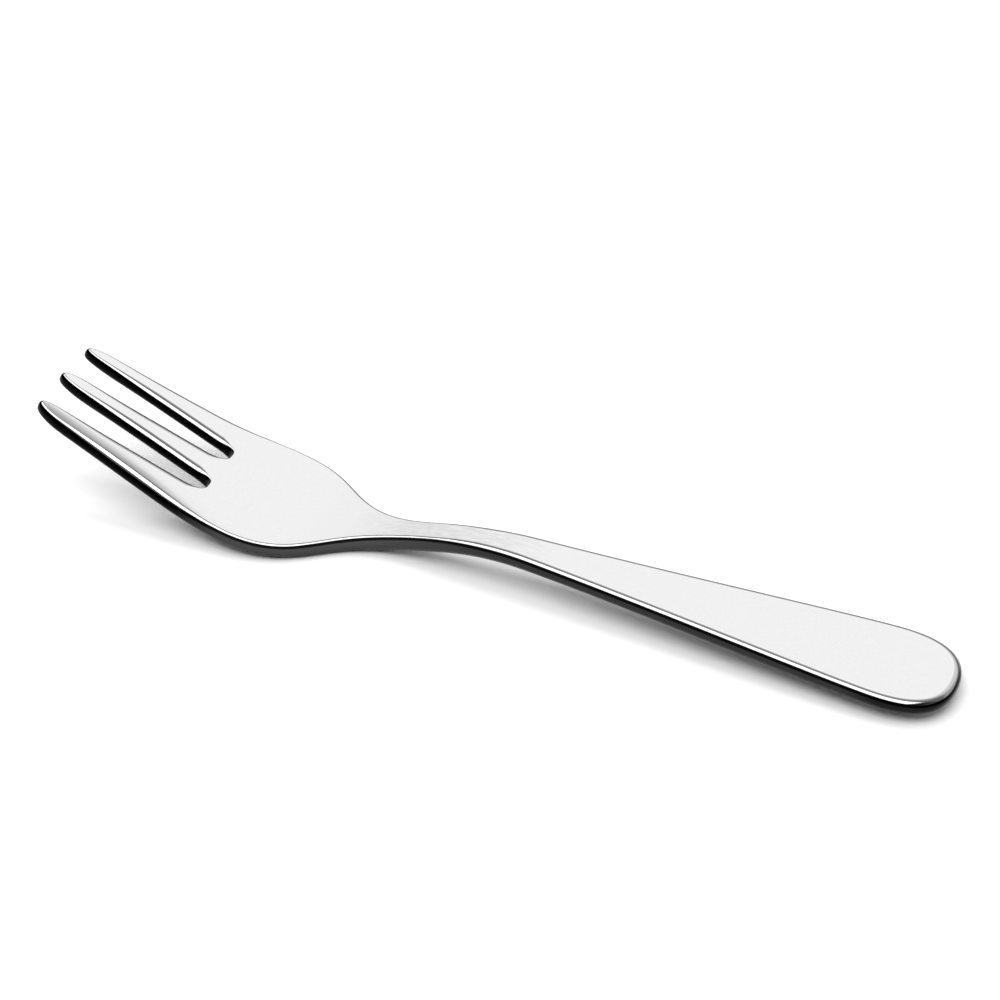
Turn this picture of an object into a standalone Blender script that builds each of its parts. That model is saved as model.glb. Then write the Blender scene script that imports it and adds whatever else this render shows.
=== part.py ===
"""A three-tined baby fork, blanked from one piece of sheet steel and bent to shape.

The flat blank is drawn in plan, swept round with rolled edges, creased across where it will bend,
then crowned over the head and bent: a straight rising handle, an arched neck that is thicker underneath,
a hollow sweep under the head and straight tines that rise towards their tips.

Lengths along the blank are measured from the end of the handle.
The finished fork lies as on a table, its tines towards -X and +Z up.
"""

from math import acos, atan2, cos, hypot, pi, radians, sin

import bmesh
import bpy
from mathutils import Vector
from mathutils.geometry import interpolate_bezier

MM = 0.001

# Sheet: its rolled edges run in over the faces less and less along the tines
THICKNESS = 2.5 * MM
EDGE_RADIUS = 1.0 * MM
TIP_EDGE_REACH = 0.5 * MM
TIP_EDGE_RUN = 16.0 * MM

# The underside is let down under the neck and taken up at the tips
NECK_SWELL = 0.42 * MM
NECK_SWELL_RUN = 30.0 * MM
TIP_THINNING = 0.3 * MM
TIP_THINNING_RUN = 7.0 * MM

# Lengths along the blank, one after the other from the end of the handle
HANDLE_LENGTH = 87.3 * MM
SHOULDER_LENGTH = 30.1 * MM
PALM_LENGTH = 7.6 * MM
TINE_LENGTH = 30.2 * MM

# Where the handle, the shoulder, the palm and the tines end
NECK_AT = HANDLE_LENGTH
HEAD_WIDEST_AT = NECK_AT + SHOULDER_LENGTH
SLOTS_AT = HEAD_WIDEST_AT + PALM_LENGTH
BLANK_LENGTH = SLOTS_AT + TINE_LENGTH

# Handle outline: the pull of a curve says how far it keeps its direction
HANDLE_WIDTH = 17.4 * MM
HANDLE_WIDEST_AT = 10.4 * MM
END_PULL = 7.3 * MM
END_SIDE_PULL = 5.0 * MM
FLANK_PULL = 8.4 * MM

# Neck outline
NECK_WIDTH = 5.0 * MM
NECK_PULL = 21.9 * MM
ROOT_PULL = 17.3 * MM

# Head outline
HEAD_WIDTH = 24.5 * MM
SHOULDER_PULL = 15.1 * MM
HEAD_SIDE_RADIUS = 46.0 * MM

# Tines and the slots between them: each tine ends in a pointed nose
TINE_COUNT = 3
TIP_SPACING = 7.85 * MM
OUTER_TIP_SETBACK = 0.35 * MM
NOSE_SPACING = 8.05 * MM
NOSE_WIDTH = 3.2 * MM
NOSE_LENGTH = 5.0 * MM
NOSE_SIDE_PULL = 2.7 * MM
NOSE_END_PULL = 1.0 * MM
TINE_ROOT_WIDTH = 5.7 * MM
SLOT_ROOT_WIDTH = 2.5 * MM
SLOT_CORNER_RADIUS = 0.9 * MM

# Bends, along the middle of the sheet: the arch starts this far before the narrowest of the neck
HANDLE_RISE = radians(2.95)
ARCH_BEFORE_NECK = 18.4 * MM
ARCH_RADIUS = 55.5 * MM
NECK_FALL = radians(13.2)
NECK_STRAIGHT = 5.9 * MM
SWEEP_RADIUS = 63.5 * MM
TINE_RISE = radians(23.0)

# The head is pressed slightly domed across its width, mostly near its sides and most at the tines
HEAD_CROWN = 0.1 * MM
TINE_CROWN = 0.22 * MM
CROWN_POWER = 8

# Fineness of the curves
END_STEPS = 12
NOSE_STEPS = 5
FLANK_STEPS = 10
SHOULDER_STEPS = 16
ARC_STEP = radians(15.0)
EDGE_STEPS = 3
BEND_STEP = radians(1.5)
TINE_CREASES = 5
WELD = 0.00001 * MM
SHARP_ANGLE = radians(35.0)

STEEL_COLOUR = (0.63, 0.63, 0.62, 1.0)
STEEL_ROUGHNESS = 0.12


def clear_scene():
    for thing in list(bpy.data.objects):
        bpy.data.objects.remove(thing, do_unlink=True)


def curve_points(start, start_pull, end_pull, end, steps):
    """Points of a smooth curve between two ends, without its first point."""
    flat = [point.to_3d() for point in (start, start_pull, end_pull, end)]
    return [point.to_2d() for point in interpolate_bezier(*flat, steps + 1)][1:]


def common_tangent(first, second):
    """Direction square to the line that touches two circles on their left side.

    A circle is (centre, radius). A negative radius is a hollow corner, which the line
    touches from its other side.
    """
    gap = second[0] - first[0]
    reach = hypot(gap.x, gap.y)
    direction = atan2(gap.y, gap.x) + acos((first[1] - second[1]) / reach)
    return (direction + pi) % (2.0 * pi) - pi


def arc_points(circle, start, end):
    """Points on a circle from one outward direction to another, both ends included."""
    centre, radius = circle
    steps = max(1, round(abs(end - start) / ARC_STEP))
    turns = [start + (end - start) * step / steps for step in range(steps + 1)]
    return [centre + radius * Vector((cos(turn), sin(turn))) for turn in turns]


def side_points():
    """One edge of the handle, neck and shoulder, from the handle end to the widest of the head."""
    end = Vector((0.0, 0.0))
    grip = Vector((HANDLE_WIDEST_AT, HANDLE_WIDTH / 2))
    neck = Vector((NECK_AT, NECK_WIDTH / 2))
    head = Vector((HEAD_WIDEST_AT, HEAD_WIDTH / 2))
    along = Vector((1.0, 0.0))
    across = Vector((0.0, 1.0))
    return [
        end,
        *curve_points(end, across * END_PULL, grip - along * END_SIDE_PULL, grip, END_STEPS),
        *curve_points(grip, grip + along * FLANK_PULL, neck - along * NECK_PULL, neck, FLANK_STEPS),
        *curve_points(neck, neck + along * ROOT_PULL, head - along * SHOULDER_PULL, head, SHOULDER_STEPS),
    ]


def tine_axes(spacing):
    """How far across the blank each tine lies, from one side to the other."""
    return [spacing * ((TINE_COUNT - 1) / 2 - tine) for tine in range(TINE_COUNT)]


def tip_end(across):
    """How far along the blank a tip ends: the tips lie on a shallow arc, the middle one furthest."""
    return BLANK_LENGTH - OUTER_TIP_SETBACK * (across / tine_axes(TIP_SPACING)[0]) ** 2


def slot_axes():
    """How far across the blank the root of each slot lies, from one side to the other."""
    spacing = TINE_ROOT_WIDTH + SLOT_ROOT_WIDTH
    return [spacing * ((TINE_COUNT - 2) / 2 - slot) for slot in range(TINE_COUNT - 1)]


def tine_rounds():
    """The circles that the outline runs round at the tines, from one side of the head to the other.

    A tip has two circles of no size, where its nose starts and ends.
    """
    side = HEAD_WIDTH / 2 - HEAD_SIDE_RADIUS
    tips = []
    for across, nose in zip(tine_axes(TIP_SPACING), tine_axes(NOSE_SPACING)):
        nose_at = tip_end(across) - NOSE_LENGTH
        tips.append([(Vector((nose_at, nose + half)), 0.0) for half in (NOSE_WIDTH / 2, -NOSE_WIDTH / 2)])
    corner_at = SLOTS_AT + SLOT_CORNER_RADIUS
    corner_offset = SLOT_ROOT_WIDTH / 2 - SLOT_CORNER_RADIUS
    rounds = [(Vector((HEAD_WIDEST_AT, side)), HEAD_SIDE_RADIUS), *tips[0]]
    for tip, across in zip(tips[1:], slot_axes()):
        rounds.append((Vector((corner_at, across + corner_offset)), -SLOT_CORNER_RADIUS))
        rounds.append((Vector((corner_at, across - corner_offset)), -SLOT_CORNER_RADIUS))
        rounds += tip
    rounds.append((Vector((HEAD_WIDEST_AT, -side)), HEAD_SIDE_RADIUS))
    return rounds


def nose_points(start, arriving, end, leaving):
    """The pointed nose of a tip: it leaves one side of the tine and comes back along the other."""
    across = (start.y + end.y) / 2 * TIP_SPACING / NOSE_SPACING
    tip = Vector((tip_end(across), across))
    out = Vector((sin(arriving), -cos(arriving))) * NOSE_SIDE_PULL
    back = Vector((sin(leaving), -cos(leaving))) * NOSE_SIDE_PULL
    end_pull = Vector((0.0, NOSE_END_PULL))
    first = curve_points(start, start + out, tip + end_pull, tip, NOSE_STEPS)
    second = curve_points(tip, tip - end_pull, end - back, end, NOSE_STEPS)
    return [start, *first, *second]


def tine_points():
    """The outline round the tines and slots, from the widest of the head on one side to the other."""
    rounds = tine_rounds()
    leaving = [common_tangent(first, second) for first, second in zip(rounds, rounds[1:])]
    arriving = [pi / 2] + leaving
    leaving = leaving + [-pi / 2]
    points = []
    for number, (circle, start, end) in enumerate(zip(rounds, arriving, leaving)):
        if circle[1] != 0.0:
            points += arc_points(circle, start, end)
        elif rounds[number + 1][1] == 0.0:
            points += nose_points(circle[0], start, rounds[number + 1][0], leaving[number + 1])
    return points[1:-1]


def blank_outline():
    """The whole outline of the flat blank, clockwise from the handle end."""
    side = side_points()
    other_side = [Vector((point.x, -point.y)) for point in reversed(side[1:])]
    return side + tine_points() + other_side


def outward(outline, number):
    """The direction square to the outline at one of its points."""
    before = (outline[number] - outline[number - 1]).normalized()
    after = (outline[(number + 1) % len(outline)] - outline[number]).normalized()
    along = (before + after).normalized()
    return Vector((-along.y, along.x))


def smooth_step(value):
    part = min(max(value, 0.0), 1.0)
    return part * part * (3.0 - 2.0 * part)


def blend(first, second, part):
    return first + (second - first) * smooth_step(part)


def edge_reach(point):
    """How far the rolled edge runs in over the broad faces at a point of the outline."""
    return blend(TIP_EDGE_REACH, EDGE_RADIUS, (BLANK_LENGTH - point.x) / TIP_EDGE_RUN)


def edge_turns():
    """The steps of the rolled edge, from a broad face round to the side, as angles."""
    return [pi / 2 * step / EDGE_STEPS for step in range(EDGE_STEPS + 1)]


def blank_mesh(outline):
    """The flat blank: rings of points round its edge, from the upper face to the lower, closed by both."""
    blank = bmesh.new()
    outwards = [outward(outline, number) for number in range(len(outline))]
    rings = []
    for side, turns in ((1.0, edge_turns()), (-1.0, reversed(edge_turns()))):
        for turn in turns:
            height = side * (THICKNESS / 2 - EDGE_RADIUS * (1.0 - cos(turn)))
            ring = []
            for point, out in zip(outline, outwards):
                place = point - out * edge_reach(point) * (1.0 - sin(turn))
                ring.append(blank.verts.new((place.x, place.y, height)))
            rings.append(ring)
    for upper, lower in zip(rings, rings[1:]):
        for number in range(len(outline)):
            blank.faces.new((upper[number - 1], upper[number], lower[number], lower[number - 1]))
    blank.faces.new(rings[0])
    blank.faces.new(rings[-1])
    bmesh.ops.recalc_face_normals(blank, faces=blank.faces[:])
    return blank


def bend_parts():
    """The bends in order: each part's length along the blank, its radius (none if straight) and its turn."""
    return [
        (NECK_AT - ARCH_BEFORE_NECK, None, 0.0),
        (ARCH_RADIUS * (HANDLE_RISE + NECK_FALL), ARCH_RADIUS, -(HANDLE_RISE + NECK_FALL)),
        (NECK_STRAIGHT, None, 0.0),
        (SWEEP_RADIUS * (NECK_FALL + TINE_RISE), SWEEP_RADIUS, NECK_FALL + TINE_RISE),
    ]


def bend_at(along):
    """Distance over the table, height and slope of the middle of the sheet at a length along the blank."""
    ground, height, slope = 0.0, 0.0, HANDLE_RISE
    left = along
    for length, radius, turn in bend_parts():
        run = min(left, length)
        left -= run
        if radius is None:
            ground += run * cos(slope)
            height += run * sin(slope)
        else:
            turned = turn * run / length
            side = radius if turn > 0.0 else -radius
            ground += side * (sin(slope + turned) - sin(slope))
            height -= side * (cos(slope + turned) - cos(slope))
            slope += turned
        if left <= 0.0:
            return ground, height, slope
    return ground + left * cos(slope), height + left * sin(slope), slope


def crease_places():
    """Lengths along the blank where it is creased across, close together wherever it bends."""
    places = []
    start = 0.0
    for length, radius, turn in bend_parts():
        if radius is not None:
            steps = max(2, round(abs(turn) / BEND_STEP))
            places += [start + length * step / steps for step in range(steps + 1)]
        start += length
    places += [start + (BLANK_LENGTH - start) * step / TINE_CREASES for step in range(1, TINE_CREASES)]
    return places


def cut(blank, faces, place, direction):
    """Cuts faces along a plane through a place, square to a direction."""
    edges = {edge for face in faces for edge in face.edges}
    vertices = {vertex for face in faces for vertex in face.verts}
    geometry = [*vertices, *edges, *faces]
    bmesh.ops.bisect_plane(blank, geom=geometry, dist=WELD, plane_co=place, plane_no=direction)


def crease(blank):
    """Cuts the faces across at every bend, and those of the head lengthwise for its crown."""
    for place in crease_places():
        cut(blank, blank.faces[:], Vector((place, 0.0, 0.0)), Vector((1.0, 0.0, 0.0)))
    axes = tine_axes(TIP_SPACING)
    outermost = (axes[0] + HEAD_WIDTH / 2) / 2
    for across in [outermost, *axes, *slot_axes(), -outermost]:
        head = [face for face in blank.faces if face.calc_center_median().x > NECK_AT]
        cut(blank, head, Vector((0.0, across, 0.0)), Vector((0.0, 1.0, 0.0)))


def crown_at(along, across):
    """How far the head is pressed up: all of it in the middle, nothing at the sides and at the neck."""
    rise = smooth_step((along - NECK_AT) / SHOULDER_LENGTH)
    tips_half_width = tine_axes(NOSE_SPACING)[0] + NOSE_WIDTH / 2
    narrowing = max(0.0, (along - HEAD_WIDEST_AT) / (BLANK_LENGTH - HEAD_WIDEST_AT))
    half_width = HEAD_WIDTH / 2 + narrowing * (tips_half_width - HEAD_WIDTH / 2)
    crown = blend(HEAD_CROWN, TINE_CROWN, (along - HEAD_WIDEST_AT) / TINE_LENGTH)
    return crown * rise * (1.0 - (across / half_width) ** CROWN_POWER)


def underside_swell(along):
    """How far the underside is let down at a length along the blank, less than nothing at the tips."""
    neck = smooth_step(1.0 - abs(along - NECK_AT) / NECK_SWELL_RUN)
    tip = smooth_step(1.0 - (BLANK_LENGTH - along) / TIP_THINNING_RUN)
    return NECK_SWELL * neck - TIP_THINNING * tip


def bend(blank):
    """Crowns and bends the blank, then stands it on its lowest points with its length centred."""
    for vertex in blank.verts:
        along, across, up = vertex.co
        ground, height, slope = bend_at(along)
        if up < 0.0:
            up *= 1.0 + underside_swell(along) / (THICKNESS / 2)
        up += crown_at(along, across)
        vertex.co = (-ground + up * sin(slope), across, height + up * cos(slope))
    lengths = [vertex.co.x for vertex in blank.verts]
    lowest = min(vertex.co.z for vertex in blank.verts)
    shift = Vector((-(min(lengths) + max(lengths)) / 2, 0.0, -lowest))
    bmesh.ops.translate(blank, verts=blank.verts[:], vec=shift)


def steel():
    material = bpy.data.materials.new("polished_steel")
    material.use_nodes = True
    shader = material.node_tree.nodes["Principled BSDF"]
    shader.inputs["Base Color"].default_value = STEEL_COLOUR
    shader.inputs["Metallic"].default_value = 1.0
    shader.inputs["Roughness"].default_value = STEEL_ROUGHNESS
    return material


def build_fork():
    blank = blank_mesh(blank_outline())
    crease(blank)
    bend(blank)
    bmesh.ops.recalc_face_normals(blank, faces=blank.faces[:])

    mesh = bpy.data.meshes.new("fork")
    blank.to_mesh(mesh)
    blank.free()
    mesh.shade_smooth()
    mesh.set_sharp_from_angle(angle=SHARP_ANGLE)
    mesh.materials.append(steel())

    fork = bpy.data.objects.new("fork", mesh)
    group = bpy.data.collections.new("baby_fork")
    bpy.context.scene.collection.children.link(group)
    group.objects.link(fork)
    return fork


clear_scene()
build_fork()
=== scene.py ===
"""A three-tined baby fork of polished steel, lying on a white table.

The frame's solid is shown by a finer mesh of nearly the same drawing: a flat blank whose rounded edges,
crown and bends are smooth enough to mirror the studio without facets.
"""

from math import acos, atan2, cos, hypot, pi, radians, sin

import bmesh
import bpy
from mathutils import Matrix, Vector
from mathutils.geometry import interpolate_bezier


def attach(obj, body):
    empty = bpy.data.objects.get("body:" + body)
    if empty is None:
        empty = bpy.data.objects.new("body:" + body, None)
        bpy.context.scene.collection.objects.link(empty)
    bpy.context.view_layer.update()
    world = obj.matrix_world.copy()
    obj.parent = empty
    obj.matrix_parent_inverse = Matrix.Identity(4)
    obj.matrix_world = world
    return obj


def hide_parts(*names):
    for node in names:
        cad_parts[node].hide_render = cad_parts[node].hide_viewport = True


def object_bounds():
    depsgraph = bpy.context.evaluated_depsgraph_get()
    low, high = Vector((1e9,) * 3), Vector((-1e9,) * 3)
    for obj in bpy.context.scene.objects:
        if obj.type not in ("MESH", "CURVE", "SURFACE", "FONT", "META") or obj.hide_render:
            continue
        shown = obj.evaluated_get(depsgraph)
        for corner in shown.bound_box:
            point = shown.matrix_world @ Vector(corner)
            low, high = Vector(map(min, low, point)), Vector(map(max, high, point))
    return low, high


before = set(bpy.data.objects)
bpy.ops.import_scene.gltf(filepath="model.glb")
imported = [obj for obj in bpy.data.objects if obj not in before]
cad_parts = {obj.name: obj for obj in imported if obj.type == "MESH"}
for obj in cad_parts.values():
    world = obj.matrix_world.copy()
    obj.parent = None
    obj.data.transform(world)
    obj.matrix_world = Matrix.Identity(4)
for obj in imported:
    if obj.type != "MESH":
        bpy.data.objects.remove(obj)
cad_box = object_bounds()

MM = 0.001

# Sheet: its edges are rounded right down its sides, and run in over the faces further in some places
# than in others
THICKNESS = 2.5 * MM
NECK_SWELL = 0.42 * MM
NECK_SWELL_RUN = 30.0 * MM
EDGE_DROP = 1.2 * MM
EDGE_POWER = 2.2
END_REACH = 1.4 * MM
END_RUN = 12.0 * MM
HANDLE_REACH = 1.25 * MM
NECK_RUN = 12.0 * MM
SHOULDER_REACH = 0.8 * MM
HEAD_SIDE_REACH = 1.3 * MM
HEAD_SIDE_RUN = 14.0 * MM
SLOT_REACH = 0.3 * MM
SLOT_RUN = 3.0 * MM
TINE_REACH = 1.5 * MM
TIP_REACH = 0.6 * MM
TIP_RUN = 16.0 * MM

# Lengths along the blank, one after the other from the end of the handle
HANDLE_LENGTH = 87.3 * MM
SHOULDER_LENGTH = 30.1 * MM
PALM_LENGTH = 7.6 * MM
TINE_LENGTH = 30.2 * MM

# Where the handle, the shoulder, the palm and the tines end
NECK_AT = HANDLE_LENGTH
HEAD_WIDEST_AT = NECK_AT + SHOULDER_LENGTH
SLOTS_AT = HEAD_WIDEST_AT + PALM_LENGTH
BLANK_LENGTH = SLOTS_AT + TINE_LENGTH

# Outline of the handle, the neck and the head: the pull of a curve says how far it keeps its direction
HANDLE_WIDTH = 17.4 * MM
HANDLE_WIDEST_AT = 10.4 * MM
END_PULL = 7.3 * MM
END_SIDE_PULL = 5.0 * MM
FLANK_PULL = 8.4 * MM
NECK_WIDTH = 5.0 * MM
NECK_PULL = 21.9 * MM
ROOT_PULL = 17.3 * MM
HEAD_WIDTH = 24.5 * MM
SHOULDER_PULL = 15.1 * MM
HEAD_SIDE_RADIUS = 46.0 * MM

# Tines and the slots between them
TINE_COUNT = 3
TIP_SPACING = 7.7 * MM
OUTER_TIP_SETBACK = 0.35 * MM
NOSE_SPACING = 8.05 * MM
NOSE_WIDTH = 3.2 * MM
NOSE_LENGTH = 5.0 * MM
NOSE_SIDE_PULL = 2.7 * MM
NOSE_END_PULL = 1.0 * MM
NOSE_THINNING = 0.45 * MM
NOSE_THINNING_RUN = 7.0 * MM
TINE_ROOT_WIDTH = 5.7 * MM
SLOT_ROOT_WIDTH = 2.5 * MM
SLOT_CORNER_RADIUS = 0.9 * MM

# Bends, along the middle of the sheet: the arch starts this far before the narrowest of the neck
HANDLE_RISE = radians(2.95)
ARCH_BEFORE_NECK = 18.4 * MM
ARCH_RADIUS = 55.5 * MM
NECK_FALL = radians(13.2)
NECK_STRAIGHT = 5.9 * MM
SWEEP_RADIUS = 63.5 * MM
TINE_RISE = radians(23.0)

# The head is pressed slightly domed across its width: it rises in the middle and drops near its sides,
# most at the tines
HEAD_CROWN = 0.1 * MM
TINE_CROWN = 0.28 * MM
TINE_DROP = 0.85 * MM
CROWN_RUN = 22.0 * MM
CROWN_POWER = 8
CROWN_MARGIN = 0.8 * MM

# Fineness of the curves
END_STEPS = 48
NOSE_STEPS = 14
FLANK_STEPS = 60
SHOULDER_STEPS = 60
ARC_STEP = radians(4.0)
STRAIGHT_STEP = 1.0 * MM
EDGE_STEPS = 12
BEND_STEP = radians(0.5)
TINE_CREASE = 1.5 * MM
CROWN_CREASE = 1.2 * MM
WELD = 0.00001 * MM
SLOPE_STEP = 0.01 * MM

# Steel: how light it is by how far it has turned from the top to the underside, with painted shade that
# makes its rounded edges darker and its underside darker than the top, to deepen the fork's shadow on the
# table; where its sides are, which are painted near-black as a painted reflection of dark surroundings, with
# a painted darker band along their tops; how dark the sides are painted by the place along the fork in
# millimetres; and where the neck is worn
STEEL_TONES_AND_PAINTED_SHADE = [(0.011, 0.86), (0.030, 0.62), (0.22, 0.42), (0.78, 0.38), (0.970, 0.5), (0.989, 0.55)]
PAINTED_SIDE_MASK = [(0.215, 0.0), (0.255, 1.0), (0.745, 1.0), (0.785, 0.0)]
PAINTED_DARK_BAND = [(0.36, 0.25), (0.42, 1.0)]
SIDE_PAINTED_REFLECTION = [(-50.0, 0.002), (-42.0, 0.05), (-20.0, 0.06), (0.0, 0.03), (60.0, 0.03), (66.0, 0.012)]
NECK_WEAR = [(-24.0, 0.0), (-14.0, 1.0), (2.0, 1.0), (12.0, 0.0)]
HALF_LENGTH_MM = 76.0

# The steel's fine grain, which roughens it and scratches the worn neck, and its faint mottle
GRAIN_SCALES = (480.0, 1900.0, 1900.0)
GRAIN_DETAIL = 3.0
SMOOTHEST = 0.08
ROUGHEST = 0.16
SCRATCHES = [(0.36, 0.88), (0.64, 1.0)]
MOTTLE_SCALE = 2200.0
MOTTLE_DETAIL = 4.0
MOTTLE = [(0.35, 0.975), (0.65, 1.0)]

# Studio walls: light by the angle in degrees from the back wall's foot, over the top, to the front wall's
# foot, and how much of it is left by the angle to the side, from the left to the right of straight back
WALLS = [
    (0.0, 0.2), (21.0, 0.2), (29.0, 1.04), (52.0, 1.04), (55.5, 0.7), (61.0, 0.42), (82.0, 0.36),
    (88.0, 0.08), (112.0, 0.02),
]
SIDES = [(-78.0, 0.2), (-60.0, 0.75), (-37.0, 0.95), (-33.0, 0.97), (-22.0, 1.0), (24.0, 1.0), (40.0, 0.6)]

# Dim walls at the sides and in front, up to a height, which only mirrors show
FILL = [(-110.0, 0.4), (-85.0, 0.0), (85.0, 0.0), (110.0, 0.4)]
FILL_TOP = 0.75
FILL_FADE = 0.1

# Table: its white in bounced light, and its white to the camera and in mirrors
TABLE_HALF_WIDTH = 4.0
TABLE_BOUNCE = 0.95
TABLE_WHITE = 1.0

# Lamps: one overhead, and a wide soft one behind it that mirrors don't show. Their sides are given by how
# far they lie off for each step up
LAMP_HEIGHT = 0.8
POWER_PER_RADIANCE = 4.0
LAMP_LEFT = -0.95
LAMP_RIGHT = 0.42
LAMP_BACK = 0.08
LAMP_FRONT = -0.73
LAMP_RADIANCE = 2.4
SOFT_SIDE = 2.5
SOFT_BACK = 0.65
SOFT_FRONT = 0.15
SOFT_RADIANCE = 1.6

# Camera
CAMERA_AZIMUTH = radians(22.97)
CAMERA_ELEVATION = radians(38.89)
CAMERA_DISTANCE = 481.8 * MM
CAMERA_LENS_MM = 109.9
CAMERA_SENSOR_MM = 36.0
CAMERA_NEAREST = 10.0 * MM
AIM_RIGHT = 1.34 * MM
AIM_UP = 11.26 * MM


def curve_points(start, start_pull, end_pull, end, steps):
    """Points of a smooth curve between two ends, without its first point."""
    flat = [point.to_3d() for point in (start, start_pull, end_pull, end)]
    return [point.to_2d() for point in interpolate_bezier(*flat, steps + 1)][1:]


def common_tangent(first, second):
    """Direction square to the line that touches two circles on their left side.

    A circle is (centre, radius). A negative radius is a hollow corner, which the line
    touches from its other side.
    """
    gap = second[0] - first[0]
    reach = hypot(gap.x, gap.y)
    direction = atan2(gap.y, gap.x) + acos((first[1] - second[1]) / reach)
    return (direction + pi) % (2.0 * pi) - pi


def arc_points(circle, start, end):
    """Points on a circle from one outward direction to another, both ends included."""
    centre, radius = circle
    steps = max(1, round(abs(end - start) / ARC_STEP))
    turns = [start + (end - start) * step / steps for step in range(steps + 1)]
    return [centre + radius * Vector((cos(turn), sin(turn))) for turn in turns]


def side_points():
    """One edge of the handle, neck and shoulder, from the handle end to the widest of the head."""
    end = Vector((0.0, 0.0))
    grip = Vector((HANDLE_WIDEST_AT, HANDLE_WIDTH / 2))
    neck = Vector((NECK_AT, NECK_WIDTH / 2))
    head = Vector((HEAD_WIDEST_AT, HEAD_WIDTH / 2))
    along = Vector((1.0, 0.0))
    across = Vector((0.0, 1.0))
    return [
        end,
        *curve_points(end, across * END_PULL, grip - along * END_SIDE_PULL, grip, END_STEPS),
        *curve_points(grip, grip + along * FLANK_PULL, neck - along * NECK_PULL, neck, FLANK_STEPS),
        *curve_points(neck, neck + along * ROOT_PULL, head - along * SHOULDER_PULL, head, SHOULDER_STEPS),
    ]


def tine_axes(spacing):
    """How far across the blank each tine lies, from one side to the other."""
    return [spacing * ((TINE_COUNT - 1) / 2 - tine) for tine in range(TINE_COUNT)]


def tip_end(across):
    """How far along the blank a tip ends: the tips lie on a shallow arc, the middle one furthest."""
    return BLANK_LENGTH - OUTER_TIP_SETBACK * (across / tine_axes(TIP_SPACING)[0]) ** 2


def slot_axes():
    """How far across the blank the root of each slot lies, from one side to the other."""
    spacing = TINE_ROOT_WIDTH + SLOT_ROOT_WIDTH
    return [spacing * ((TINE_COUNT - 2) / 2 - slot) for slot in range(TINE_COUNT - 1)]


def tine_rounds():
    """The circles that the outline runs round at the tines, from one side of the head to the other.

    A tip has two circles of no size, where its nose starts and ends.
    """
    side = HEAD_WIDTH / 2 - HEAD_SIDE_RADIUS
    tips = []
    for across, nose in zip(tine_axes(TIP_SPACING), tine_axes(NOSE_SPACING)):
        nose_at = tip_end(across) - NOSE_LENGTH
        tips.append([(Vector((nose_at, nose + half)), 0.0) for half in (NOSE_WIDTH / 2, -NOSE_WIDTH / 2)])
    corner_at = SLOTS_AT + SLOT_CORNER_RADIUS
    corner_offset = SLOT_ROOT_WIDTH / 2 - SLOT_CORNER_RADIUS
    rounds = [(Vector((HEAD_WIDEST_AT, side)), HEAD_SIDE_RADIUS), *tips[0]]
    for tip, across in zip(tips[1:], slot_axes()):
        rounds.append((Vector((corner_at, across + corner_offset)), -SLOT_CORNER_RADIUS))
        rounds.append((Vector((corner_at, across - corner_offset)), -SLOT_CORNER_RADIUS))
        rounds += tip
    rounds.append((Vector((HEAD_WIDEST_AT, -side)), HEAD_SIDE_RADIUS))
    return rounds


def nose_points(start, arriving, end, leaving):
    """The pointed nose of a tip: it leaves one side of the tine and comes back along the other."""
    across = (start.y + end.y) / 2 * TIP_SPACING / NOSE_SPACING
    tip = Vector((tip_end(across), across))
    out = Vector((sin(arriving), -cos(arriving))) * NOSE_SIDE_PULL
    back = Vector((sin(leaving), -cos(leaving))) * NOSE_SIDE_PULL
    end_pull = Vector((0.0, NOSE_END_PULL))
    first = curve_points(start, start + out, tip + end_pull, tip, NOSE_STEPS)
    second = curve_points(tip, tip - end_pull, end - back, end, NOSE_STEPS)
    return [start, *first, *second]


def tine_points():
    """The outline round the tines and slots, from the widest of the head on one side to the other."""
    rounds = tine_rounds()
    leaving = [common_tangent(first, second) for first, second in zip(rounds, rounds[1:])]
    arriving = [pi / 2] + leaving
    leaving = leaving + [-pi / 2]
    points = []
    for number, (circle, start, end) in enumerate(zip(rounds, arriving, leaving)):
        if circle[1] != 0.0:
            points += arc_points(circle, start, end)
        elif rounds[number + 1][1] == 0.0:
            points += nose_points(circle[0], start, rounds[number + 1][0], leaving[number + 1])
    return points[1:-1]


def blank_outline():
    """The whole outline of the flat blank, clockwise from the handle end, with no long steps."""
    side = side_points()
    other_side = [Vector((point.x, -point.y)) for point in reversed(side[1:])]
    corners = side + tine_points() + other_side
    outline = []
    for start, end in zip(corners, corners[1:] + corners[:1]):
        steps = max(1, round((end - start).length / STRAIGHT_STEP))
        outline += [start.lerp(end, step / steps) for step in range(steps)]
    return outline


def outward(outline, number):
    """The direction square to the outline at one of its points."""
    before = (outline[number] - outline[number - 1]).normalized()
    after = (outline[(number + 1) % len(outline)] - outline[number]).normalized()
    along = (before + after).normalized()
    return Vector((-along.y, along.x))


def smooth_step(value):
    part = min(max(value, 0.0), 1.0)
    return part * part * (3.0 - 2.0 * part)


def blend(first, second, part):
    return first + (second - first) * smooth_step(part)


def edge_reach(point):
    """How far the rounded edge runs in over the broad faces at a point of the outline."""
    along, across = point
    reach = blend(END_REACH, HANDLE_REACH, along / END_RUN)
    reach = blend(reach, SHOULDER_REACH, (along - NECK_AT + NECK_RUN) / NECK_RUN)
    if along < HEAD_WIDEST_AT:
        return reach
    if abs(across) > tine_axes(TIP_SPACING)[0]:
        reach = blend(reach, HEAD_SIDE_REACH, (along - HEAD_WIDEST_AT) / HEAD_SIDE_RUN)
    else:
        reach = blend(SLOT_REACH, TINE_REACH, (along - SLOTS_AT) / SLOT_RUN)
    return blend(TIP_REACH, reach, (BLANK_LENGTH - along) / TIP_RUN)


def edge_turns():
    """The steps of the rounding, from the top face down to the side, as angles."""
    turns = [pi / 2 * step / EDGE_STEPS for step in range(EDGE_STEPS)]
    return [*turns, pi / 2]


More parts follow.
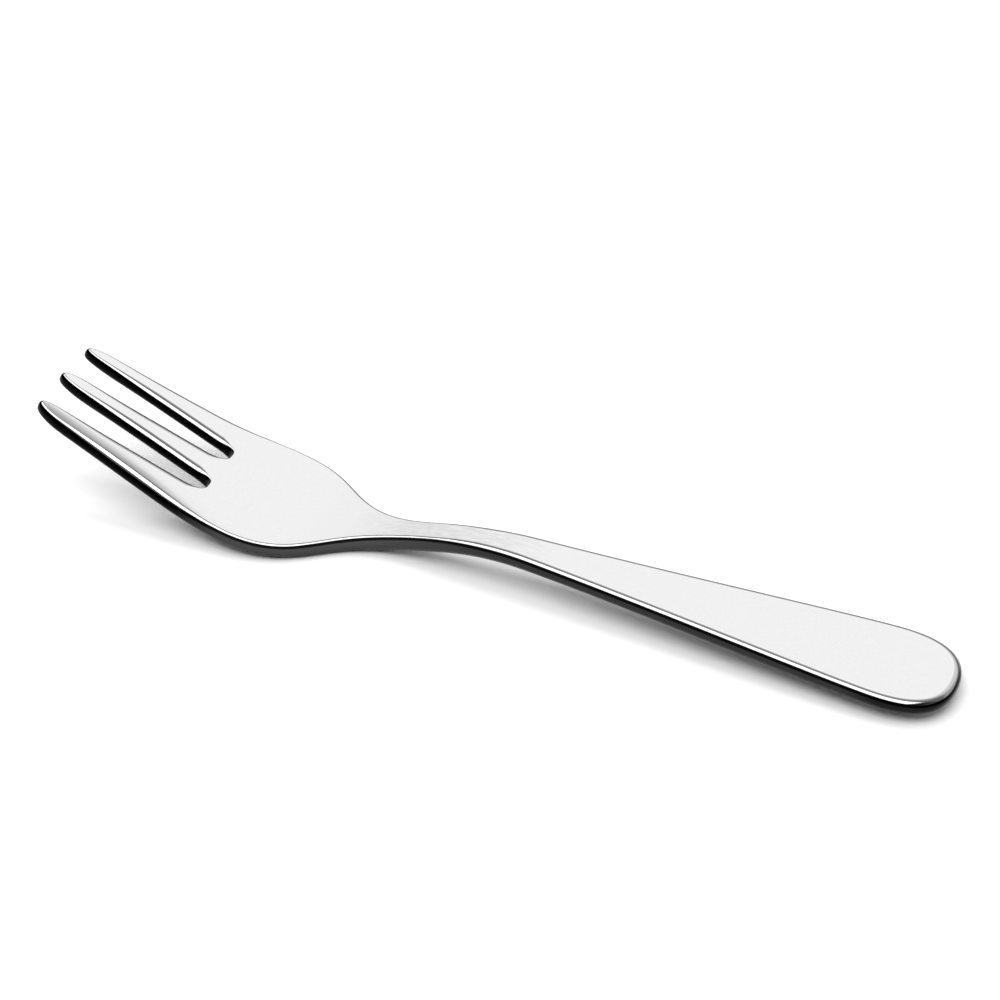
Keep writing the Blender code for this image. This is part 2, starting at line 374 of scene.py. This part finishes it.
def blank_mesh(outline):
    """The flat blank with its rounded edge, each point with the direction its surface faces.

    It also keeps how far the surface has turned, from the top (0) past the sides (a half) to the
    underside (1).
    """
    blank = bmesh.new()
    facing = blank.verts.layers.float_vector.new("facing")
    turned = blank.verts.layers.float.new("turned")
    outwards = [outward(outline, number) for number in range(len(outline))]
    reaches = [edge_reach(point) for point in outline]
    steepening = 2.0 - 2.0 / EDGE_POWER
    rings = []
    for side, turns in ((1.0, edge_turns()), (-1.0, reversed(edge_turns()))):
        for turn in turns:
            ring = []
            for point, out, reach in zip(outline, outwards, reaches):
                place = point - out * reach * (1.0 - sin(turn) ** (2.0 / EDGE_POWER))
                height = THICKNESS / 2 - EDGE_DROP * (1.0 - cos(turn) ** (2.0 / EDGE_POWER))
                vertex = blank.verts.new((place.x, place.y, side * height))
                tilt = atan2(EDGE_DROP * sin(turn) ** steepening, reach * cos(turn) ** steepening)
                vertex[facing] = (out.x * sin(tilt), out.y * sin(tilt), side * cos(tilt))
                vertex[turned] = tilt / pi if side > 0.0 else 1.0 - tilt / pi
                ring.append(vertex)
            rings.append(ring)
    for upper, lower in zip(rings, rings[1:]):
        for number in range(len(outline)):
            blank.faces.new((upper[number - 1], upper[number], lower[number], lower[number - 1]))
    blank.faces.new(rings[0])
    blank.faces.new(rings[-1])
    return blank


def is_broad(face):
    return abs(face.normal.z) > abs(face.normal.x) + abs(face.normal.y)


def bend_parts():
    """The bends in order: each part's length along the blank, its radius (none if straight) and its turn."""
    return [
        (NECK_AT - ARCH_BEFORE_NECK, None, 0.0),
        (ARCH_RADIUS * (HANDLE_RISE + NECK_FALL), ARCH_RADIUS, -(HANDLE_RISE + NECK_FALL)),
        (NECK_STRAIGHT, None, 0.0),
        (SWEEP_RADIUS * (NECK_FALL + TINE_RISE), SWEEP_RADIUS, NECK_FALL + TINE_RISE),
    ]


def bend_at(along):
    """Distance over the table, height and slope of the middle of the sheet at a length along the blank."""
    ground, height, slope = 0.0, 0.0, HANDLE_RISE
    left = along
    for length, radius, turn in bend_parts():
        run = min(left, length)
        left -= run
        if radius is None:
            ground += run * cos(slope)
            height += run * sin(slope)
        else:
            turned = turn * run / length
            side = radius if turn > 0.0 else -radius
            ground += side * (sin(slope + turned) - sin(slope))
            height -= side * (cos(slope + turned) - cos(slope))
            slope += turned
        if left <= 0.0:
            return ground, height, slope
    return ground + left * cos(slope), height + left * sin(slope), slope


def crease_places():
    """Lengths along the blank where it is creased across, close together wherever it bends."""
    places = []
    start = 0.0
    for length, radius, turn in bend_parts():
        if radius is not None:
            steps = max(2, round(abs(turn) / BEND_STEP))
            places += [start + length * step / steps for step in range(steps + 1)]
        start += length
    steps = round((BLANK_LENGTH - start) / TINE_CREASE)
    places += [start + (BLANK_LENGTH - start) * step / steps for step in range(1, steps)]
    return places


def cut(blank, faces, place, direction):
    """Cuts faces along a plane through a place, square to a direction."""
    edges = {edge for face in faces for edge in face.edges}
    vertices = {vertex for face in faces for vertex in face.verts}
    geometry = [*vertices, *edges, *faces]
    bmesh.ops.bisect_plane(blank, geom=geometry, dist=WELD, plane_co=place, plane_no=direction)


def crease(blank):
    """Cuts the faces across at every bend, and the broad faces of the head lengthwise for its crown."""
    for place in crease_places():
        cut(blank, blank.faces[:], Vector((place, 0.0, 0.0)), Vector((1.0, 0.0, 0.0)))
    lines = round(HEAD_WIDTH / CROWN_CREASE)
    for line in range(1, lines):
        across = HEAD_WIDTH * (line / lines - 0.5)
        head = [face for face in blank.faces if is_broad(face) and face.calc_center_median().x > NECK_AT]
        cut(blank, head, Vector((0.0, across, 0.0)), Vector((0.0, 1.0, 0.0)))


def crown_at(along, across):
    """How far the head is pressed up in the middle, or down at the sides."""
    rise = smooth_step((along - NECK_AT) / SHOULDER_LENGTH)
    tips_half_width = tine_axes(NOSE_SPACING)[0] + NOSE_WIDTH / 2
    narrowing = max(0.0, (along - HEAD_WIDEST_AT) / (BLANK_LENGTH - HEAD_WIDEST_AT))
    half_width = HEAD_WIDTH / 2 + narrowing * (tips_half_width - HEAD_WIDTH / 2)
    crown = blend(HEAD_CROWN, TINE_CROWN, (along - HEAD_WIDEST_AT) / CROWN_RUN)
    drop = blend(HEAD_CROWN, TINE_DROP, (along - HEAD_WIDEST_AT) / CROWN_RUN)
    return rise * (crown - drop * (across / (half_width + CROWN_MARGIN)) ** CROWN_POWER)


def crown_slopes(along, across):
    """How steeply the crown rises along and across the blank."""
    rise_along = crown_at(along + SLOPE_STEP, across) - crown_at(along - SLOPE_STEP, across)
    rise_across = crown_at(along, across + SLOPE_STEP) - crown_at(along, across - SLOPE_STEP)
    return rise_along / (2 * SLOPE_STEP), rise_across / (2 * SLOPE_STEP)


def underside_swell(along):
    """How far the underside is let down under the neck, or taken up at the tips."""
    neck = smooth_step(1.0 - abs(along - NECK_AT) / NECK_SWELL_RUN)
    nose = smooth_step(1.0 - (BLANK_LENGTH - along) / NOSE_THINNING_RUN)
    return NECK_SWELL * neck - NOSE_THINNING * nose


def bend(blank):
    """Crowns and bends the blank and the directions it faces, and stands it centred on its lowest points."""
    facing = blank.verts.layers.float_vector["facing"]
    for vertex in blank.verts:
        along, across, up = vertex.co
        ground, height, slope = bend_at(along)
        if up < 0.0:
            up *= 1.0 + underside_swell(along) / (THICKNESS / 2)
        up += crown_at(along, across)
        vertex.co = (-ground + up * sin(slope), across, height + up * cos(slope))
        face_along, face_across, face_up = vertex[facing].normalized()
        steep_along, steep_across = crown_slopes(along, across)
        face_along -= steep_along * face_up
        face_across -= steep_across * face_up
        face_x = face_up * sin(slope) - face_along * cos(slope)
        face_z = face_up * cos(slope) + face_along * sin(slope)
        vertex[facing] = Vector((face_x, face_across, face_z)).normalized()
    lengths = [vertex.co.x for vertex in blank.verts]
    lowest = min(vertex.co.z for vertex in blank.verts)
    shift = Vector((-(min(lengths) + max(lengths)) / 2, 0.0, -lowest))
    bmesh.ops.translate(blank, verts=blank.verts[:], vec=shift)


def new_material(name):
    material = bpy.data.materials.new(name)
    material.use_nodes = True
    return material, material.node_tree.nodes, material.node_tree.links


def grey_ramp(nodes, links, value, stops):
    """The greys that stand for a value from 0 to 1."""
    colours = nodes.new("ShaderNodeValToRGB")
    ramp = colours.color_ramp
    ramp.elements.remove(ramp.elements[1])
    for number, (place, grey) in enumerate(stops):
        stop = ramp.elements[0] if number == 0 else ramp.elements.new(place)
        stop.position = place
        stop.color = (grey, grey, grey, 1.0)
    links.new(value, colours.inputs["Fac"])
    return colours.outputs["Color"]


def along_ramp(nodes, links, along, stops):
    """The greys by the place along the fork, in millimetres from its middle."""
    shares = [(0.5 + at / (2 * HALF_LENGTH_MM), grey) for at, grey in stops]
    return grey_ramp(nodes, links, along, shares)


def product(nodes, links, first, second):
    times = nodes.new("ShaderNodeVectorMath")
    times.operation = "MULTIPLY"
    links.new(first, times.inputs[0])
    links.new(second, times.inputs[1])
    return times.outputs["Vector"]


def polished_steel():
    material, nodes, links = new_material("polished_steel")
    shader = nodes["Principled BSDF"]
    shader.inputs["Metallic"].default_value = 1.0

    place = nodes.new("ShaderNodeTexCoord")
    turned = nodes.new("ShaderNodeAttribute")
    turned.attribute_name = "turned"

    stretch = nodes.new("ShaderNodeMapping")
    stretch.inputs["Scale"].default_value = GRAIN_SCALES
    links.new(place.outputs["Object"], stretch.inputs["Vector"])
    grain = nodes.new("ShaderNodeTexNoise")
    grain.inputs["Scale"].default_value = 1.0
    grain.inputs["Detail"].default_value = GRAIN_DETAIL
    links.new(stretch.outputs["Vector"], grain.inputs["Vector"])
    rough = nodes.new("ShaderNodeMapRange")
    rough.inputs["To Min"].default_value = SMOOTHEST
    rough.inputs["To Max"].default_value = ROUGHEST
    links.new(grain.outputs["Fac"], rough.inputs["Value"])
    links.new(rough.outputs["Result"], shader.inputs["Roughness"])

    mottle = nodes.new("ShaderNodeTexNoise")
    mottle.inputs["Scale"].default_value = MOTTLE_SCALE
    mottle.inputs["Detail"].default_value = MOTTLE_DETAIL
    links.new(place.outputs["Object"], mottle.inputs["Vector"])
    # Painted shade: the rounded edges and the underside come out darker than the top of the same steel
    faces = grey_ramp(nodes, links, turned.outputs["Fac"], STEEL_TONES_AND_PAINTED_SHADE)
    clouds = grey_ramp(nodes, links, mottle.outputs["Fac"], MOTTLE)
    clouded = product(nodes, links, faces, clouds)

    split = nodes.new("ShaderNodeSeparateXYZ")
    links.new(place.outputs["Object"], split.inputs["Vector"])
    along = nodes.new("ShaderNodeMapRange")
    along.inputs["From Min"].default_value = -HALF_LENGTH_MM * MM
    along.inputs["From Max"].default_value = HALF_LENGTH_MM * MM
    links.new(split.outputs["X"], along.inputs["Value"])
    # Painted reflection: how dark the sides are painted, by the place along the fork
    side_painted_reflection = along_ramp(nodes, links, along.outputs["Result"], SIDE_PAINTED_REFLECTION)
    wear = along_ramp(nodes, links, along.outputs["Result"], NECK_WEAR)
    scratches = grey_ramp(nodes, links, grain.outputs["Fac"], SCRATCHES)
    worn = nodes.new("ShaderNodeMix")
    worn.data_type = "RGBA"
    worn.blend_type = "MULTIPLY"
    links.new(wear, worn.inputs["Factor"])
    links.new(clouded, worn.inputs["A"])
    links.new(scratches, worn.inputs["B"])

    # Painted reflection: the tops of the sides are painted darker still, as a black band
    band = grey_ramp(nodes, links, turned.outputs["Fac"], PAINTED_DARK_BAND)
    sides_painted_dark = product(nodes, links, side_painted_reflection, band)
    # The sides take the painted near-black reflection in place of the steel's own tone
    side = grey_ramp(nodes, links, turned.outputs["Fac"], PAINTED_SIDE_MASK)
    colour = nodes.new("ShaderNodeMix")
    colour.data_type = "RGBA"
    links.new(side, colour.inputs["Factor"])
    links.new(worn.outputs["Result"], colour.inputs["A"])
    links.new(sides_painted_dark, colour.inputs["B"])
    links.new(colour.outputs["Result"], shader.inputs["Base Color"])
    return material


def build_fork():
    blank = blank_mesh(blank_outline())
    blank.normal_update()
    crease(blank)
    bend(blank)
    bmesh.ops.recalc_face_normals(blank, faces=blank.faces[:])
    blank.verts.ensure_lookup_table()
    facing = blank.verts.layers.float_vector["facing"]
    directions = [vertex[facing].copy() for vertex in blank.verts]
    blank.verts.layers.float_vector.remove(facing)

    mesh = bpy.data.meshes.new("polished_fork")
    blank.to_mesh(mesh)
    blank.free()
    mesh.shade_smooth()
    mesh.normals_split_custom_set_from_vertices(directions)
    mesh.materials.append(polished_steel())

    fork = bpy.data.objects.new("polished_fork", mesh)
    bpy.context.scene.collection.objects.link(fork)
    return fork


def table_paint():
    """White to the camera and in what mirrors it, with the fork's shadow kept."""
    material, nodes, links = new_material("white_table")
    nodes.remove(nodes["Principled BSDF"])
    plain = nodes.new("ShaderNodeBsdfDiffuse")
    plain.inputs["Color"].default_value = (TABLE_BOUNCE, TABLE_BOUNCE, TABLE_BOUNCE, 1.0)
    bright = nodes.new("ShaderNodeBsdfDiffuse")
    bright.inputs["Color"].default_value = (TABLE_WHITE, TABLE_WHITE, TABLE_WHITE, 1.0)
    rays = nodes.new("ShaderNodeLightPath")
    mirrored = nodes.new("ShaderNodeMath")
    mirrored.operation = "MAXIMUM"
    links.new(rays.outputs["Is Glossy Ray"], mirrored.inputs[0])
    links.new(rays.outputs["Is Transmission Ray"], mirrored.inputs[1])
    shown = nodes.new("ShaderNodeMath")
    shown.operation = "MAXIMUM"
    links.new(rays.outputs["Is Camera Ray"], shown.inputs[0])
    links.new(mirrored.outputs["Value"], shown.inputs[1])
    paint = nodes.new("ShaderNodeMixShader")
    links.new(shown.outputs["Value"], paint.inputs["Fac"])
    links.new(plain.outputs["BSDF"], paint.inputs[1])
    links.new(bright.outputs["BSDF"], paint.inputs[2])
    links.new(paint.outputs["Shader"], nodes["Material Output"].inputs["Surface"])
    return material


def white_table():
    mesh = bpy.data.meshes.new("table")
    flat = bmesh.new()
    bmesh.ops.create_grid(flat, x_segments=1, y_segments=1, size=TABLE_HALF_WIDTH)
    flat.to_mesh(mesh)
    flat.free()
    mesh.materials.append(table_paint())
    table = bpy.data.objects.new("table", mesh)
    table.location.z = cad_box[0][2]
    bpy.context.scene.collection.objects.link(table)


def angle_ramp(nodes, links, rise, run, stops):
    """The greys by the angle, in degrees, whose rise and run are given."""
    angle = nodes.new("ShaderNodeMath")
    angle.operation = "ARCTAN2"
    links.new(rise, angle.inputs[0])
    links.new(run, angle.inputs[1])
    turn = nodes.new("ShaderNodeMapRange")
    turn.inputs["From Min"].default_value = -pi
    turn.inputs["From Max"].default_value = pi
    links.new(angle.outputs["Value"], turn.inputs["Value"])
    shares = [(0.5 + degrees / 360.0, grey) for degrees, grey in stops]
    return grey_ramp(nodes, links, turn.outputs["Result"], shares)


def studio():
    """The studio all round: pale at the back and dark in front, with dim walls that only mirrors show."""
    world = bpy.data.worlds.new("studio")
    world.use_nodes = True
    bpy.context.scene.world = world
    nodes = world.node_tree.nodes
    links = world.node_tree.links
    place = nodes.new("ShaderNodeTexCoord")
    split = nodes.new("ShaderNodeSeparateXYZ")
    links.new(place.outputs["Generated"], split.inputs["Vector"])
    walls = angle_ramp(nodes, links, split.outputs["Z"], split.outputs["Y"], WALLS)
    sides = angle_ramp(nodes, links, split.outputs["X"], split.outputs["Y"], SIDES)
    light = product(nodes, links, walls, sides)
    fill = angle_ramp(nodes, links, split.outputs["X"], split.outputs["Y"], FILL)
    low = nodes.new("ShaderNodeMapRange")
    low.inputs["From Min"].default_value = FILL_TOP
    low.inputs["From Max"].default_value = FILL_TOP - FILL_FADE
    links.new(split.outputs["Z"], low.inputs["Value"])
    rays = nodes.new("ShaderNodeLightPath")
    shown = nodes.new("ShaderNodeMath")
    shown.operation = "MULTIPLY"
    links.new(low.outputs["Result"], shown.inputs[0])
    links.new(rays.outputs["Is Glossy Ray"], shown.inputs[1])
    mirrored = nodes.new("ShaderNodeVectorMath")
    mirrored.operation = "SCALE"
    links.new(fill, mirrored.inputs[0])
    links.new(shown.outputs["Value"], mirrored.inputs["Scale"])
    total = nodes.new("ShaderNodeVectorMath")
    links.new(light, total.inputs[0])
    links.new(mirrored.outputs["Vector"], total.inputs[1])
    links.new(total.outputs["Vector"], nodes["Background"].inputs["Color"])


def hanging_lamp(name, left, right, back, front, radiance):
    """A flat lamp that faces down, with its sides by how far they lie off for each step up."""
    data = bpy.data.lights.new(name, "AREA")
    data.shape = "RECTANGLE"
    data.size = (right - left) * LAMP_HEIGHT
    data.size_y = (back - front) * LAMP_HEIGHT
    data.energy = radiance * POWER_PER_RADIANCE * data.size * data.size_y
    shining = bpy.data.objects.new(name, data)
    shining.location = Vector(((left + right) / 2, (back + front) / 2, 1.0)) * LAMP_HEIGHT
    bpy.context.scene.collection.objects.link(shining)
    return shining


def lamps():
    hanging_lamp("overhead", LAMP_LEFT, LAMP_RIGHT, LAMP_BACK, LAMP_FRONT, LAMP_RADIANCE)
    soft = hanging_lamp("soft", -SOFT_SIDE, SOFT_SIDE, SOFT_BACK, SOFT_FRONT, SOFT_RADIANCE)
    soft.visible_glossy = False


def camera():
    right = Vector((cos(CAMERA_AZIMUTH), sin(CAMERA_AZIMUTH), 0.0))
    ahead = Vector((-sin(CAMERA_AZIMUTH), cos(CAMERA_AZIMUTH), 0.0))
    up = Vector((0.0, 0.0, 1.0)) * cos(CAMERA_ELEVATION) + ahead * sin(CAMERA_ELEVATION)
    look = ahead * cos(CAMERA_ELEVATION) - Vector((0.0, 0.0, 1.0)) * sin(CAMERA_ELEVATION)
    data = bpy.data.cameras.new("camera")
    data.lens = CAMERA_LENS_MM
    data.sensor_width = CAMERA_SENSOR_MM
    data.clip_start = CAMERA_NEAREST
    eye = bpy.data.objects.new("camera", data)
    eye.location = right * AIM_RIGHT + up * AIM_UP - look * CAMERA_DISTANCE
    eye.rotation_euler = look.to_track_quat("-Z", "Y").to_euler()
    bpy.context.scene.collection.objects.link(eye)
    bpy.context.scene.camera = eye


fork = build_fork()
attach(fork, "root")
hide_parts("fork")
white_table()
studio()
lamps()
camera()
bpy.context.scene.view_settings.view_transform = "Standard"
